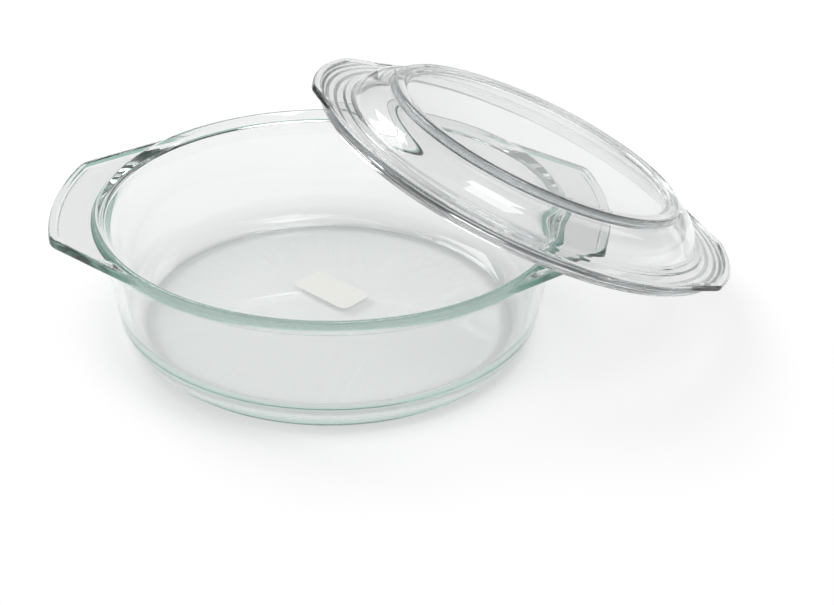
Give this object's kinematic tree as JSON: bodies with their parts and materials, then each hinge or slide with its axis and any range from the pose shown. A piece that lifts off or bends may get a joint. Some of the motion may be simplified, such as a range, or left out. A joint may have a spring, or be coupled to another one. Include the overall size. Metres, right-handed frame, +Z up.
{
  "type": "baking dish with lid",
  "caption": "Round clear glass baking dish with two side handles and a low domed glass lid that leans on its rim.",
  "frame": {"origin": "middle of the dish's flat foot, on the table", "axes": "+Z up; +X along the dish's handles, towards the handle that the lid leans over; +Y away from the viewer of the picture"},
  "size_m": [0.3343, 0.2591, 0.1128],
  "materials": {
    "dish_glass": "fire-polished pressed glass, faint green in thick edges",
    "lid_glass": "fire-polished pressed glass, nearly colourless",
    "label_paper": "matt cream paper"
  },
  "bodies": {
    "dish": {"baking_dish": "dish_glass", "paper_label": "label_paper"},
    "lid": {"lid": "lid_glass"}
  },
  "joints": [
    {"name": "lid_lift", "type": "slide", "parent": "dish", "child": "lid", "axis": [0, 0, 1], "range_m": [0, 0.12]}
  ]
}
